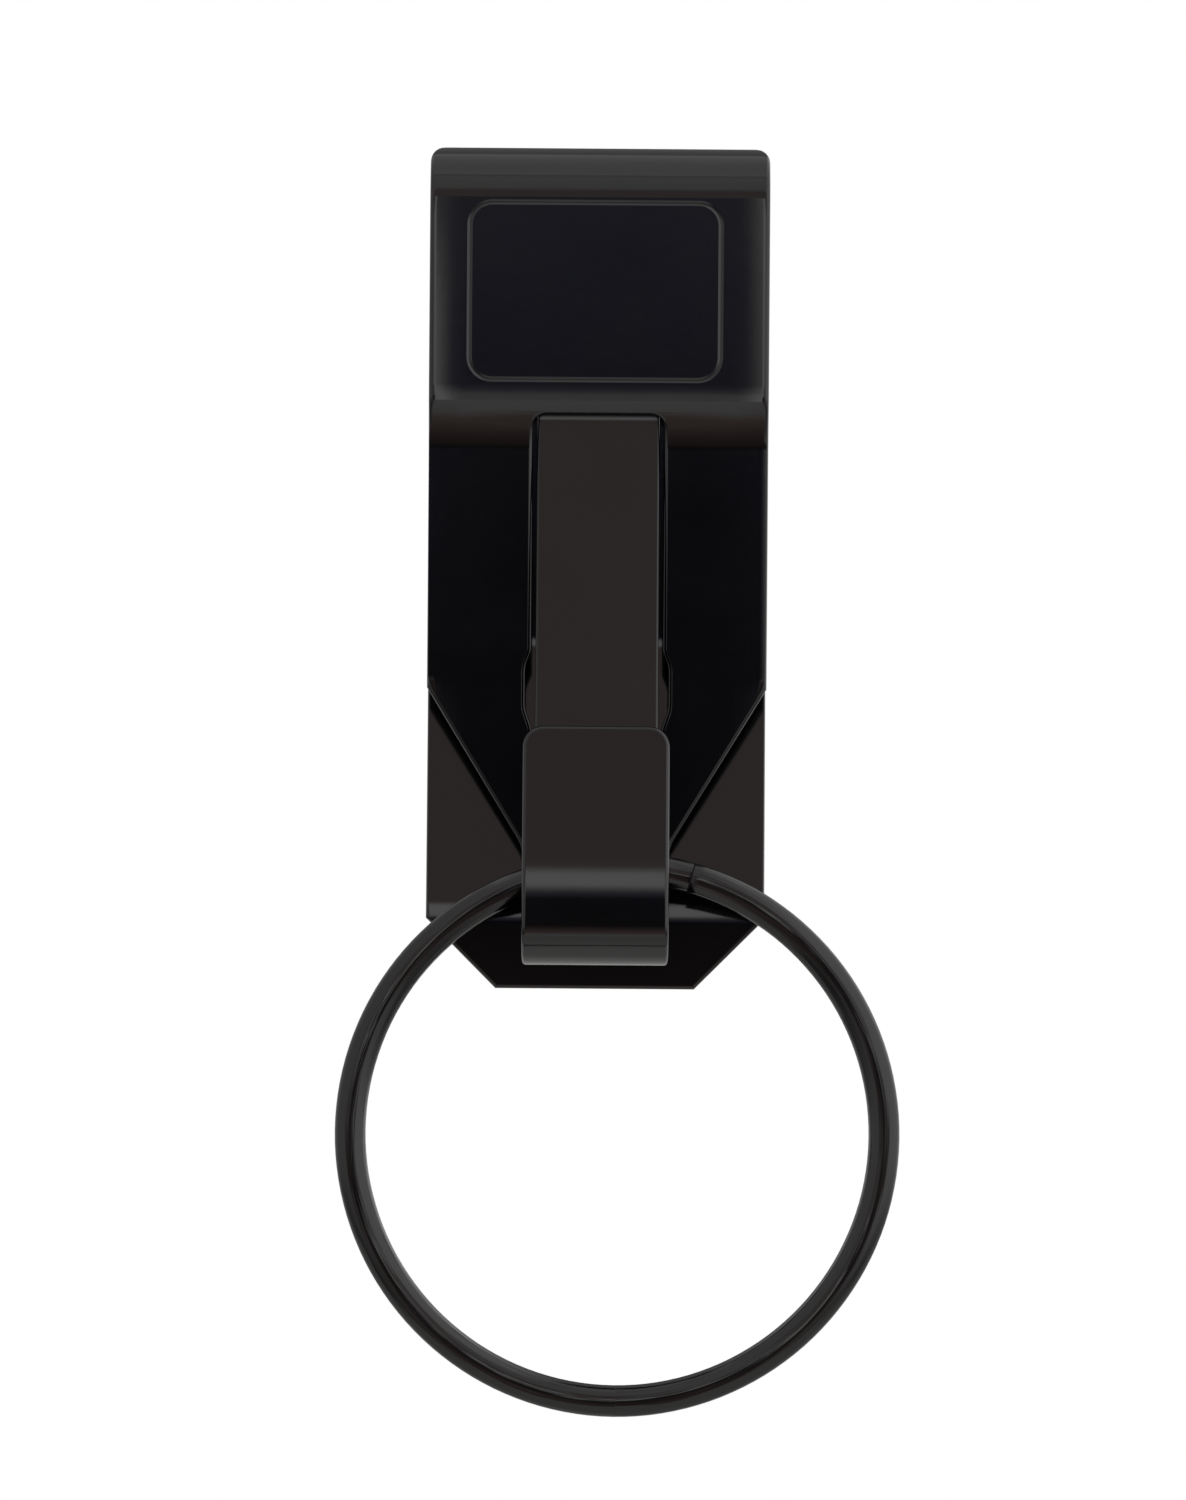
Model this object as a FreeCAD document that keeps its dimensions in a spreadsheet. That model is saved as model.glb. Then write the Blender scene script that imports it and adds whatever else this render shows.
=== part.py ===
"""Belt key clip: a folded spring-steel strip with a hook, a leaf-spring gate and a split ring.

Millimetres. Seen from the front, +X is to the right, +Y goes back to the wearer and +Z is up.
The origin is under the top fold, in the middle of the gap that takes the belt.
Drops are measured downward from the top of the fold.
"""

import FreeCAD, Part
import math
import os
import Sketcher

Vector = FreeCAD.Vector

SIZES = {
    "strip_width": 23.0,  # width of the fold, the panels and the back leaf
    "sheet_thick": 0.9,  # spring steel of the strip
    "edge_break": 0.18,  # broken edge all round the sheared strip
    "belt_gap": 4.8,  # room for a belt between front panel and back leaf
    "panel_step": 0.9,  # how far the top panel stands in front of the lower one
    "step_angle": 30.0,  # steepest slope of that step
    "step_drop": 16.9,
    "window_top": 18.0,
    "window_straight": 14.5,  # length of the window's straight sides
    "window_flare": 5.1,  # length over which it then widens
    "window_spread": 0.5,  # by this much on each side
    "window_foot": 4.7,  # length of its wide lower end
    "window_width": 8.9,
    "window_top_round": 0.95,
    "window_foot_round": 3.4,
    "window_bridge": 5.2,  # sheet left between the window and the taper's lower end
    "taper_length": 10.8,
    "taper_round": 2.5,  # fillet from the taper into the neck
    "hook_width": 9.9,
    "hook_neck": 4.35,  # from the taper's lower end to the hook's bend
    "hook_throat": 5.3,  # clear room between the neck and the hook's front wall
    "hook_wall": 1.55,  # upright part of that wall, above the bend
    "lean_round": 10.0,
    "tip_angle": 11.0,  # the wall then leans inward
    "tip_rise": 16.2,  # from the bottom of the hook to its tip
    "tip_round": 1.4,
    "leaf_round": 8.0,
    "leaf_angle": 8.5,  # forward lean of the back leaf's lower part
    "leaf_slant": 18.1,  # height of that part
    "nip_round": 5.0,
    "lip_angle": 1.0,  # backward lean of the lip under it
    "lip_shoulder": 0.42,  # straight side between the bend and the cut corner
    "lip_reach": 1.7,  # the lip ends this far below the hook
    "lip_chamfer": 4.75,
    "gate_side_gap": 0.3,  # room on each side of the gate in the window
    "gate_thick": 0.6,
    "gate_top": 6.6,
    "gate_pad_end": 12.2,  # the gate leaves the top panel here
    "gate_angle": 6.0,  # slope with which it goes back to pass behind the window's top edge
    "gate_lead": 0.1,  # it turns forward this far above that edge
    "gate_round": 3.0,
    "gate_tip_gap": 0.3,  # room left behind the hook's tip
    "gate_overlap": 2.3,  # the gate goes on this far below the tip's upper end
    "gate_tip_round": 1.2,
    "gate_edge_break": 0.12,
    "ring_outer": 38.1,
    "wire_radial": 2.05,
    "wire_axial": 1.35,
    "wire_round": 0.5,
    "coil_gap": 0.45,
    "ring_rise": 4.7,  # the ring lies this far above the bottom of the hook
    "ring_back_gap": 0.625,  # room between its rear turn and the neck
    "ring_side": 1.6,  # it hangs a little to one side
    "ring_end_angle": 15.5,  # cut end of the front turn, clockwise from the top
    "ring_jog_angle": 22.0,  # the wire leaves the front turn here, on the other side of the top
    "cut_margin": 2.0,  # cutting outlines reach this far past the sheet
}


class Size:
    """A number together with the spreadsheet formula that gives it."""

    def __init__(self, value, text):
        self.value = value
        self.text = text

    def join(self, other, sign, value):
        text = other.text if isinstance(other, Size) else repr(float(other))
        return Size(value, f"({self.text} {sign} {text})")

    def __add__(self, other):
        return self.join(other, "+", self.value + number(other))

    def __sub__(self, other):
        return self.join(other, "-", self.value - number(other))

    def __mul__(self, other):
        return self.join(other, "*", self.value * number(other))

    def __truediv__(self, other):
        return self.join(other, "/", self.value / number(other))

    def __neg__(self):
        return Size(-self.value, f"(-{self.text})")

    def sine(self):
        return Size(math.sin(math.radians(self.value)), f"sin({self.text} * 1 deg)")

    def cosine(self):
        return Size(math.cos(math.radians(self.value)), f"cos({self.text} * 1 deg)")

    def tangent(self):
        return Size(math.tan(math.radians(self.value)), f"tan({self.text} * 1 deg)")


def number(size):
    return size.value if isinstance(size, Size) else float(size)


document = FreeCAD.newDocument("belt_key_clip")
sheet = document.addObject("Spreadsheet::Sheet", "Sizes")
size = {}
for row, (alias, value) in enumerate(SIZES.items(), start=1):
    sheet.set(f"A{row}", alias.replace("_", " "))
    sheet.set(f"B{row}", str(value))
    sheet.setAlias(f"B{row}", alias)
    size[alias] = Size(value, f"Sizes.{alias}")
document.recompute()


def height(drop):
    """Z of a place that lies a drop below the top of the fold."""
    return size["sheet_thick"] - drop


def new_body(label):
    body = document.addObject("PartDesign::Body", label)
    body.Label = label
    return body


def new_sketch(body, name, role, offset=None):
    """A sketch on one of the body's origin planes, moved along its normal by offset."""
    sketch = body.newObject("Sketcher::SketchObject", name)
    planes = [each for each in body.Origin.OriginFeatures if each.Role == role]
    sketch.AttachmentSupport = [(planes[0], "")]
    sketch.MapMode = "FlatFace"
    if offset is not None:
        sketch.AttachmentOffset.Base.z = offset.value
        sketch.setExpression("AttachmentOffset.Base.z", f"{offset.text} * 1 mm")
    return sketch


def bind(sketch, kind, where, wanted, unit="mm"):
    """Adds a dimension and ties it to the spreadsheet."""
    start = math.radians(wanted.value) if unit == "deg" else wanted.value
    index = sketch.addConstraint(Sketcher.Constraint(kind, *where, start))
    sketch.setExpression(f"Constraints[{index}]", f"{wanted.text} * 1 {unit}")


def pin(sketch, kind, point, wanted):
    """Sets one coordinate of a point of the sketch."""
    if wanted.value < 0:
        bind(sketch, kind, (*point, -1, 1), -wanted)
    else:
        bind(sketch, kind, (-1, 1, *point), wanted)


class Path:
    """A chain of tangent lines and arcs in a sketch, drawn like a strip that is bent step by step."""

    def __init__(self, sketch, start, heading):
        self.sketch = sketch
        self.start = start
        self.spot = Vector(start[0].value, start[1].value, 0)
        self.heading = heading
        self.last = None

    def join(self, geometry, first, last):
        index = self.sketch.addGeometry(geometry, False)
        if self.last is None:
            pin(self.sketch, "DistanceX", (index, first), self.start[0])
            pin(self.sketch, "DistanceY", (index, first), self.start[1])
        else:
            self.sketch.addConstraint(Sketcher.Constraint("Tangent", *self.last, index, first))
        self.last = (index, last)
        return index

    def line(self, end_height):
        way = Vector(math.cos(math.radians(self.heading)), math.sin(math.radians(self.heading)), 0)
        end = self.spot + way * ((end_height.value - self.spot.y) / way.y)
        first_of_all = self.last is None
        index = self.join(Part.LineSegment(self.spot, end), 1, 2)
        if first_of_all:
            self.sketch.addConstraint(Sketcher.Constraint("Vertical", index))
        pin(self.sketch, "DistanceY", (index, 2), end_height)
        self.spot = end
        return self

    def clear(self, point, room):
        """Keeps the middle of the last line at a distance from a point beside it."""
        mark = self.sketch.addGeometry(Part.Point(Vector(point[0].value, point[1].value, 0)), True)
        pin_both(self.sketch, (mark, 1), point)
        bind(self.sketch, "Distance", (mark, 1, self.last[0]), room)

    def bend(self, radius, span, left, fixed=True):
        """An arc of the given mid-sheet radius and angle, to the left or the right of the way.

        With fixed false the angle is only a first guess, and the sketch finds it.
        """
        side = 1 if left else -1
        across = math.radians(self.heading + 90 * side)
        centre = self.spot + Vector(math.cos(across), math.sin(across), 0) * radius.value
        begin = math.radians(self.heading - 90 * side)
        end = begin + side * math.radians(span.value)
        circle = Part.Circle(centre, Vector(0, 0, 1), radius.value)
        first_of_all = self.last is None
        if left:
            index = self.join(Part.ArcOfCircle(circle, begin, end), 1, 2)
        else:
            index = self.join(Part.ArcOfCircle(circle, end, begin), 2, 1)
        bind(self.sketch, "Radius", (index,), radius)
        if fixed:
            bind(self.sketch, "Angle", (index,), span, "deg")
        if first_of_all:
            pin(self.sketch, "DistanceY", (index, 3), self.start[1])
        self.spot = centre + Vector(math.cos(end), math.sin(end), 0) * radius.value
        self.heading += side * span.value
        return self


def rectangle(sketch, centre_y, width, thick):
    """The cross-section of a strip: width across, thick through the sheet."""
    corners = []
    for x, y in ((-0.5, -0.5), (0.5, -0.5), (0.5, 0.5), (-0.5, 0.5)):
        corners.append(Vector(x * width.value, centre_y.value + y * thick.value, 0))
    for index in range(4):
        sketch.addGeometry(Part.LineSegment(corners[index], corners[(index + 1) % 4]), False)
    for index in range(4):
        sketch.addConstraint(Sketcher.Constraint("Coincident", index, 2, (index + 1) % 4, 1))
        sketch.addConstraint(Sketcher.Constraint(("Horizontal", "Vertical")[index % 2], index))
    pin(sketch, "DistanceX", (0, 1), -width / 2)
    pin(sketch, "DistanceX", (1, 1), width / 2)
    pin(sketch, "DistanceY", (0, 1), centre_y - thick / 2)
    pin(sketch, "DistanceY", (2, 1), centre_y + thick / 2)


def strip(body, name, start, heading, width, thick):
    """Starts a strip; the returned path is bent by the caller and then swept with sweep()."""
    path = Path(new_sketch(body, f"{name}_path", "YZ_Plane"), start, heading)
    section = new_sketch(body, f"{name}_section", "XY_Plane", start[1])
    rectangle(section, start[0], width, thick)
    return path, section


def sweep(body, name, path, section):
    document.recompute()
    pipe = body.newObject("PartDesign::AdditivePipe", name)
    pipe.Profile = section
    pipe.Spine = (path.sketch, [])
    document.recompute()
    return pipe


def outline(sketch, corners, rounds):
    """A closed outline of lines through corners (pairs of sizes), with the given corners rounded.

    The rounded corners get an arc tangent to both neighbouring lines, the others stay sharp.
    """
    spots = [Vector(x.value, z.value, 0) for x, z in corners]
    count = len(spots)
    ends = []
    for index in range(count):
        before = (spots[index - 1] - spots[index]).normalize()
        after = (spots[(index + 1) % count] - spots[index]).normalize()
        if index in rounds:
            half = before.getAngle(after) / 2
            reach = rounds[index].value / math.tan(half)
            middle = (before + after).normalize() * (rounds[index].value / math.sin(half))
            ends.append((spots[index] + before * reach, spots[index] + after * reach, spots[index] + middle))
        else:
            ends.append((spots[index], spots[index], None))
    lines = []
    for index in range(count):
        segment = Part.LineSegment(ends[index][1], ends[(index + 1) % count][0])
        lines.append(sketch.addGeometry(segment, False))
    for index in range(count):
        before = lines[index - 1]
        after = lines[index]
        corner = ends[index][2]
        if corner is None:
            sketch.addConstraint(Sketcher.Constraint("Coincident", before, 2, after, 1))
            pin_both(sketch, (after, 1), corners[index])
            continue
        mark = sketch.addGeometry(Part.Point(spots[index]), True)
        sketch.addConstraint(Sketcher.Constraint("PointOnObject", mark, 1, before))
        sketch.addConstraint(Sketcher.Constraint("PointOnObject", mark, 1, after))
        pin_both(sketch, (mark, 1), corners[index])
        start = ends[index][0] - corner
        finish = ends[index][1] - corner
        left = start.x * finish.y - start.y * finish.x > 0
        first, last = (start, finish) if left else (finish, start)
        begin = math.atan2(first.y, first.x)
        end = math.atan2(last.y, last.x)
        end += 2 * math.pi if end < begin else 0
        circle = Part.Circle(corner, Vector(0, 0, 1), rounds[index].value)
        arc = sketch.addGeometry(Part.ArcOfCircle(circle, begin, end), False)
        near, far = (1, 2) if left else (2, 1)
        sketch.addConstraint(Sketcher.Constraint("Tangent", before, 2, arc, near))
        sketch.addConstraint(Sketcher.Constraint("Tangent", arc, far, after, 1))
        bind(sketch, "Radius", (arc,), rounds[index])


def pin_both(sketch, point, wanted):
    pin(sketch, "DistanceX", point, wanted[0])
    pin(sketch, "DistanceY", point, wanted[1])


def pocket_back(body, name, sketch):
    """Cuts the outline through everything that lies behind the sketch."""
    document.recompute()
    before = body.Shape.Volume
    cut = body.newObject("PartDesign::Pocket", name)
    cut.Profile = sketch
    cut.Type = "ThroughAll"
    document.recompute()
    if not cut.Shape.Volume < before - 0.1:
        raise RuntimeError(f"{name} removes nothing")
    sketch.Visibility = False
    return cut


def mirror(body, name, features):
    copy = body.newObject("PartDesign::Mirrored", name)
    copy.Originals = features
    planes = [each for each in body.Origin.OriginFeatures if each.Role == "YZ_Plane"]
    copy.MirrorPlane = (planes[0], [""])
    body.Tip = copy
    document.recompute()
    return copy


def named_edges(shape, chosen):
    return [f"Edge{index}" for index, edge in enumerate(shape.Edges, start=1) if chosen(edge)]


def round_edges(body, name, wanted, chosen):
    """Fillets the edges of the body's tip for which chosen(edge) holds."""
    tip = body.Tip
    fillet = body.newObject("PartDesign::Fillet", name)
    fillet.Base = (tip, named_edges(tip.Shape, chosen))
    fillet.setExpression("Radius", f"{wanted.text} * 1 mm")
    document.recompute()


def break_edges(body, name, wanted, chosen):
    """Takes the sharpness off the edges of the body's tip for which chosen(edge) holds."""
    tip = body.Tip
    chamfer = body.newObject("PartDesign::Chamfer", name)
    chamfer.Base = (tip, named_edges(tip.Shape, chosen))
    chamfer.setExpression("Size", f"{wanted.text} * 1 mm")
    document.recompute()


def sharp_rims(body, keep):
    """A test for the edges along the rims of a sheet: its two faces meet at an angle and keep(edge) is false."""
    shape = body.Tip.Shape

    def test(edge):
        faces = [face for face in shape.Faces if any(each.isSame(edge) for each in face.Edges)]
        if len(faces) != 2 or keep(edge):
            return False
        spot = edge.valueAt((edge.FirstParameter + edge.LastParameter) / 2)
        normals = [face.normalAt(*face.Surface.parameter(spot)) for face in faces]
        return abs(normals[0].dot(normals[1])) < 0.5

    return test


def crosses_sheet(edge, thick):
    """True for a straight edge that goes through the sheet, at a sharp corner or beside a round one."""
    return edge.Curve.TypeId == "Part::GeomLine" and abs(edge.Length - thick.value) < 0.02


sheet_half = size["sheet_thick"] / 2
fold_inner = (size["belt_gap"] + size["panel_step"]) / 2
fold_mid = fold_inner + sheet_half
leaf_mid = size["belt_gap"] / 2 + sheet_half
neck_mid = -leaf_mid
fold_centre = -fold_inner
fold_start = (leaf_mid, fold_centre)
step_length = size["panel_step"] / (size["step_angle"] / 2).tangent()
step_radius = step_length / (size["step_angle"].sine() * 2)
half_turn = Size(180.0, "180")
neck_front = neck_mid - sheet_half
hook_mid = size["hook_throat"] / 2 + sheet_half

# Drops of the strip's features, each taken on from the one above it.
window_wide = size["window_top"] + size["window_straight"] + size["window_flare"]
window_bottom = window_wide + size["window_foot"]
taper_end = window_bottom + size["window_bridge"]
bend_drop = taper_end + size["hook_neck"]
hook_drop = bend_drop + hook_mid + sheet_half
tip_drop = hook_drop - size["tip_rise"]
lip_drop = hook_drop + size["lip_reach"]
nip_length = size["nip_round"] * (size["leaf_angle"].sine() + size["lip_angle"].sine())
nip_drop = lip_drop - size["lip_chamfer"] - size["lip_shoulder"] - nip_length

# Fold, top panel, step and lower panel: one strip of full width.
clip = new_body("front_clip")
panel_path, panel_section = strip(clip, "panel", fold_start, 90, size["strip_width"], size["sheet_thick"])
panel_path.bend(fold_mid, half_turn, True)
panel_path.line(height(size["step_drop"]))
panel_path.bend(step_radius, size["step_angle"], True)
panel_path.bend(step_radius, size["step_angle"], False)
panel_path.line(height(taper_end + size["hook_neck"] / 2))
sweep(clip, "panel", panel_path, panel_section)

# The taper is cut from a plane in the hook's throat, so the cut only meets what lies behind it.
throat_plane = size["belt_gap"] / 2 + size["sheet_thick"] + size["hook_throat"] / 2
neck_side = size["hook_width"] / 2
beyond = size["strip_width"] / 2 + size["cut_margin"]
below = height(hook_drop + size["cut_margin"])
slope = size["taper_length"] / (size["strip_width"] / 2 - neck_side)
taper = new_sketch(clip, "taper_outline", "XZ_Plane", throat_plane)
outline(
    taper,
    [
        (neck_side, height(taper_end)),
        (beyond, height(taper_end) + slope * (beyond - neck_side)),
        (beyond, below),
        (neck_side, below),
    ],
    {0: size["taper_round"]},
)
mirror(clip, "taper_left", [pocket_back(clip, "taper_right", taper)])

# The hook goes on from the taper's lower end as a narrow strip and comes up again in front.
hook_start = (neck_mid, height(taper_end + size["taper_round"] / 2))
hook_path, hook_section = strip(clip, "hook", hook_start, 270, size["hook_width"], size["sheet_thick"])
hook_path.line(height(bend_drop))
hook_path.bend(hook_mid, half_turn, False)
wall_top = height(bend_drop) + size["hook_wall"]
hook_path.line(wall_top)
hook_path.bend(size["lean_round"], size["tip_angle"], False)
tip_end = height(tip_drop) - sheet_half * size["tip_angle"].sine()
hook_path.line(tip_end)
sweep(clip, "hook", hook_path, hook_section)

# The long window through which the gate comes out.
window = new_sketch(clip, "window_outline", "XZ_Plane", throat_plane)
narrow = size["window_width"] / 2
wide = narrow + size["window_spread"]
window_flare_top = height(size["window_top"] + size["window_straight"])
outline(
    window,
    [
        (narrow, height(size["window_top"])),
        (-narrow, height(size["window_top"])),
        (-narrow, window_flare_top),
        (-wide, height(window_wide)),
        (-wide, height(window_bottom)),
        (wide, height(window_bottom)),
        (wide, height(window_wide)),
        (narrow, window_flare_top),
    ],
    {
        0: size["window_top_round"],
        1: size["window_top_round"],
        4: size["window_foot_round"],
        5: size["window_foot_round"],
    },
)
pocket_back(clip, "window", window)


def at_hook_tip(edge):
    middle_of_throat = neck_front - size["hook_throat"] / 2
    return crosses_sheet(edge, size["sheet_thick"]) and edge.CenterOfMass.y < middle_of_throat.value


def at_fold_end(edge):
    return abs(edge.BoundBox.ZMin - fold_centre.value) < 0.01 and edge.BoundBox.ZLength < 0.01


def stays_sharp(edge):
    return crosses_sheet(edge, size["sheet_thick"]) or at_fold_end(edge)


round_edges(clip, "tip_corners", size["tip_round"], at_hook_tip)
break_edges(clip, "clip_rims", size["edge_break"], sharp_rims(clip, stays_sharp))

# The back leaf goes on from the rear end of the fold and springs open to take a belt.
leaf = new_body("back_leaf")
leaf_path, leaf_section = strip(leaf, "leaf", fold_start, 270, size["strip_width"], size["sheet_thick"])
leaf_path.line(height(nip_drop - size["leaf_slant"]))
leaf_path.bend(size["leaf_round"], size["leaf_angle"], False)
leaf_path.line(height(nip_drop))
leaf_path.bend(size["nip_round"], size["leaf_angle"] + size["lip_angle"], True)
leaf_path.line(height(lip_drop))
sweep(leaf, "leaf", leaf_path, leaf_section)
chamfer = new_sketch(leaf, "lip_chamfer_outline", "XZ_Plane", throat_plane)
lip_below = height(lip_drop + size["cut_margin"])
outline(
    chamfer,
    [
        (size["strip_width"] / 2 - size["lip_chamfer"] - size["cut_margin"], lip_below),
        (beyond, lip_below),
        (beyond, height(lip_drop) + size["lip_chamfer"] + size["cut_margin"]),
    ],
    {},
)
mirror(leaf, "lip_corner_left", [pocket_back(leaf, "lip_corner_right", chamfer)])
break_edges(leaf, "leaf_rims", size["edge_break"], sharp_rims(leaf, stays_sharp))

# The gate: its upper end lies on the back of the top panel, its lower end just behind the hook's tip.
# The inner corner of that tip sets how far the gate leans forward.
tip_way = size["tip_angle"]
tip_middle = neck_mid - hook_mid * 2 + size["lean_round"] * (-tip_way.cosine() + 1)
tip_middle = tip_middle + (tip_end - wall_top - size["lean_round"] * tip_way.sine()) * tip_way.tangent()
tip_corner = (tip_middle + sheet_half * tip_way.cosine(), tip_end - sheet_half * tip_way.sine())
gate = new_body("gate_spring")
gate_half = size["gate_thick"] / 2
gate_width = size["window_width"] - size["gate_side_gap"] * 2
gate_start = (gate_half - (size["belt_gap"] / 2 + size["panel_step"]), height(size["gate_top"]))
gate_path, gate_section = strip(gate, "gate", gate_start, 270, gate_width, size["gate_thick"])
gate_path.line(height(size["gate_pad_end"]))
gate_path.bend(size["gate_round"], size["gate_angle"], True)
gate_path.line(height(size["window_top"] - size["gate_lead"]))
gate_path.bend(size["gate_round"], size["gate_angle"] * 2, False, fixed=False)
gate_path.line(height(tip_drop + size["gate_overlap"]))
gate_path.clear(tip_corner, size["gate_tip_gap"] + gate_half)
sweep(gate, "gate", gate_path, gate_section)
round_edges(
    gate,
    "gate_corners",
    size["gate_tip_round"],
    lambda edge: crosses_sheet(edge, size["gate_thick"]),
)
break_edges(
    gate,
    "gate_rims",
    size["gate_edge_break"],
    sharp_rims(gate, lambda edge: crosses_sheet(edge, size["gate_thick"])),
)


def cell(alias):
    """A size as it stands in the spreadsheet."""
    return float(getattr(sheet, alias))


def ring_spot(radius, angle, depth):
    """A place on the ring, the angle in degrees clockwise from the top as seen from the front."""
    turn = math.radians(angle)
    inner = cell("ring_outer") / 2 - cell("wire_radial")
    centre = height(hook_drop).value + cell("sheet_thick") + cell("ring_rise") - inner
    return Vector(cell("ring_side") + radius * math.sin(turn), depth, centre + radius * math.cos(turn))


def ring_way(angle):
    turn = math.radians(angle)
    return Vector(math.cos(turn), 0, -math.sin(turn))


def turn_arcs(radius, start, end, depth):
    """A flat turn of the wire as four equal arcs."""
    step = (end - start) / 4
    arcs = []
    for index in range(4):
        here = start + index * step
        places = [ring_spot(radius, here + share * step, depth) for share in (0, 0.5, 1)]
        arcs.append(Part.Arc(*places).toShape())
    return arcs


def arc_from(start, way, end):
    """The arc that leaves start along way and reaches end."""
    chord = end - start
    across = chord - way * chord.dot(way)
    radius = chord.dot(chord) / (2 * across.Length)
    centre = start + across.normalize() * radius
    middle = centre + ((start + end) * 0.5 - centre).normalize() * radius
    return Part.Arc(start, middle, end).toShape()


def biarc(start, start_way, end, end_way):
    """Two arcs that carry the wire from one flat turn over to the next without a kink."""
    chord = end - start
    ways = start_way + end_way
    quadratic = ways.dot(ways) - 4
    linear = -2 * chord.dot(ways)
    constant = chord.dot(chord)
    root = math.sqrt(linear * linear - 4 * quadratic * constant)
    reach = max((-linear - root) / (2 * quadratic), (-linear + root) / (2 * quadratic))
    joint = (start + start_way * reach + end - end_way * reach) * 0.5
    way = ((end - end_way * reach) - (start + start_way * reach)).normalize()
    return [arc_from(start, start_way, joint), arc_from(joint, way, end)]


def wire_outline(centre, out, back):
    """The section of the ring's rolled wire, its corners rounded by two flats each."""
    width = cell("wire_radial") / 2
    depth = cell("wire_axial") / 2
    bend = cell("wire_round")
    slant = bend * (1 - math.sqrt(0.5))
    spots = []
    for x, y in ((1, 1), (-1, 1), (-1, -1), (1, -1)):
        side = (x * width, y * (depth - bend))
        middle = (x * (width - slant), y * (depth - slant))
        rim = (x * (width - bend), y * depth)
        corner = (side, middle, rim) if x * y > 0 else (rim, middle, side)
        spots += [centre + out * u + back * v for u, v in corner]
    return Part.makePolygon(spots + spots[:1])


# The split ring: one wire, a front turn, a short crossing behind the hook tip and a rear turn.
pitch = cell("wire_axial") + cell("coil_gap")
ring_radius = (cell("ring_outer") - cell("wire_radial")) / 2
rear_turn = neck_front.value - cell("ring_back_gap") - cell("wire_axial") / 2
front_turn = rear_turn - pitch
first = cell("ring_end_angle")
last = 360 - cell("ring_jog_angle")
edges = turn_arcs(ring_radius, first, last, front_turn)
edges += biarc(
    ring_spot(ring_radius, last, front_turn),
    ring_way(last),
    ring_spot(ring_radius, first + 360, rear_turn),
    ring_way(first),
)
edges += turn_arcs(ring_radius, first + 360, last + 360, rear_turn)
ring_wire = Part.Wire(edges)
start = ring_spot(ring_radius, first, front_turn)
outward = ring_spot(1, first, 0) - ring_spot(0, first, 0)
section = wire_outline(start, outward, Vector(0, 1, 0))
shell = Part.BRepOffsetAPI.MakePipeShell(ring_wire)
shell.add(section)
shell.build()
shell.makeSolid()
ring = document.addObject("Part::Feature", "split_ring")
ring.Label = "split_ring"
ring.Shape = shell.shape()
ring.Placement = FreeCAD.Placement()
document.recompute()

# Least distance of the wire from itself, measured between sections about one turn apart.
samples = []
for edge in edges:
    steps = max(4, int(edge.Length / 0.8))
    for index in range(steps):
        at = edge.FirstParameter + (edge.LastParameter - edge.FirstParameter) * index / steps
        spot = edge.valueAt(at)
        way = edge.tangentAt(at)
        hub = ring_spot(0, 0, spot.y)
        out = (spot - hub).normalize()
        side = way.cross(out).normalize()
        samples.append([spot + out * u + side * v for u, v in (
            (cell("wire_radial") / 2 * math.cos(turn), cell("wire_axial") / 2 * math.sin(turn))
            for turn in (math.pi / 8 * each for each in range(16)))])
least = 1e9
for index, here in enumerate(samples):
    for other in samples[index + len(samples) // 3:]:
        if (here[0] - other[0]).Length < 4:
            least = min(least, min((a - b).Length for a in here for b in other))
print(f"split_ring: least gap of the wire to itself {least:.2f} mm")

os.makedirs("parts", exist_ok=True)
for each in document.Objects:
    if "Invalid" in each.State or "Error" in each.State:
        raise RuntimeError(f"{each.Label}: {each.State}")
for node in (clip, leaf, gate, ring):
    if node.Shape.isNull() or not node.Shape.isValid() or len(node.Shape.Solids) != 1:
        raise RuntimeError(f"{node.Label} is not one sound solid")
    node.Shape.exportStep(f"parts/{node.Label}.step")
    box = node.Shape.BoundBox
    print(
        f"{node.Label}: {node.Shape.Volume:.1f} mm3, x {box.XMin:.2f} {box.XMax:.2f},"
        f" y {box.YMin:.2f} {box.YMax:.2f}, z {box.ZMin:.2f} {box.ZMax:.2f}"
    )
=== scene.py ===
# %% [markdown]
# # A belt key clip in black-coated spring steel
#
# The clip slides over a belt. It is one strip of spring steel, cut flat and then bent: a half-round fold
# on top, a front panel with a step, a long window and a hook below, and a springy leaf at the back.
# A narrow gate leaf comes out through the window and closes the hook, and a split ring hangs in it.
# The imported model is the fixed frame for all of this, so the first step is to load it and note its size.

import math

import bmesh
import bpy
from mathutils import Matrix, Vector


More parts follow.
